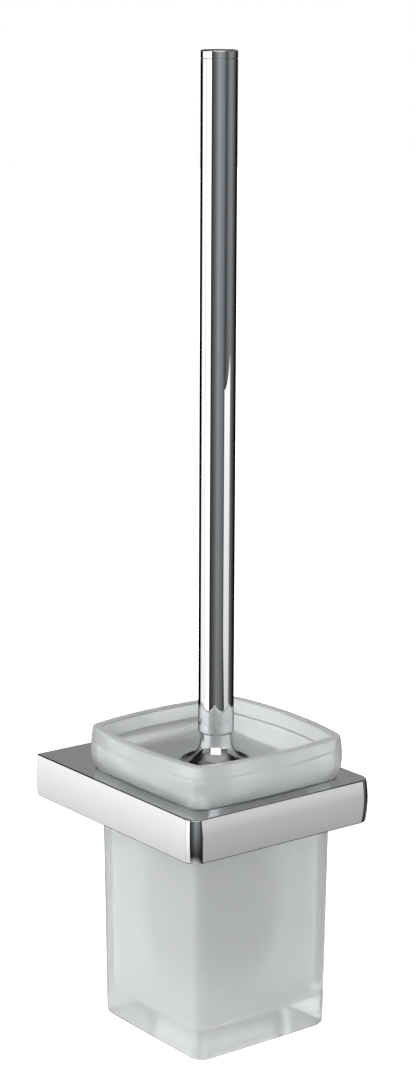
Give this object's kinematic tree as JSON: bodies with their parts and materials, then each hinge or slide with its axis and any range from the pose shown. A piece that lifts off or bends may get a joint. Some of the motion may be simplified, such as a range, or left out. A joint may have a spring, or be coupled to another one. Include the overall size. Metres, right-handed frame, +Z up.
{
  "type": "toilet brush holder",
  "caption": "Wall-hung toilet brush set: square chrome ring on a hidden bracket, satin glass tumbler, chrome tube handle with flared neck and screw-on brush head.",
  "frame": {"origin": "on the wall, at the middle of the wall bracket's back face, which is the middle of the ring's back", "axes": "+Z up along the handle; +Y into the wall; the object reaches from the wall towards -Y; X across its width"},
  "size_m": [0.1014, 0.1426, 0.438],
  "materials": {
    "chrome": "polished",
    "zinc": "as cast",
    "steel": "bright",
    "black_steel": "blackened",
    "brass": "turned",
    "satin_glass": "satin",
    "silicone": "translucent matt",
    "rubber": "matt",
    "nylon": "moulded",
    "white_plastic": "moulded",
    "bristle": "nylon filament"
  },
  "bodies": {
    "holder": {"holder_ring": "chrome", "wall_bracket": "zinc", "wall_screw_left": "steel", "wall_screw_right": "steel", "wall_plug_left": "nylon", "wall_plug_right": "nylon", "set_screw": "black_steel", "seat_gasket": "silicone"},
    "tumbler": {"glass_tumbler": "satin_glass"},
    "brush_head": {"head_core": "white_plastic", "bristle_row_1": "bristle", "bristle_row_2": "bristle", "bristle_row_3": "bristle", "bristle_row_4": "bristle", "bristle_row_5": "bristle", "bristle_row_6": "bristle", "bristle_row_7": "bristle", "bristle_row_8": "bristle", "bristle_row_9": "bristle", "bristle_tip": "bristle"},
    "washer": {"head_washer": "rubber"},
    "handle": {"handle_tube": "chrome", "handle_cap": "chrome", "handle_neck": "chrome", "tube_insert": "brass", "threaded_stud": "steel"}
  },
  "joints": [
    {"name": "tumbler_lift", "type": "slide", "parent": "holder", "child": "tumbler", "axis": [0, 0, 1], "range_m": [0, 0.12]},
    {"name": "brush_lift", "type": "slide", "parent": "tumbler", "child": "brush_head", "axis": [0, 0, 1], "range_m": [0, 0.13]},
    {"name": "handle_rise", "type": "slide", "parent": "brush_head", "child": "washer", "axis": [0, 0, 1], "range_m": [0, 0.01]},
    {"name": "handle_unscrew", "type": "hinge", "parent": "washer", "child": "handle", "pos_m": [0, -0.07, 0.0145], "axis": [0, 0, 1], "range_deg": [0, 2880]}
  ],
  "couplings": [
    {"joint": "handle_rise", "follows": "handle_unscrew", "m_per_rad": 0.00019894}
  ]
}
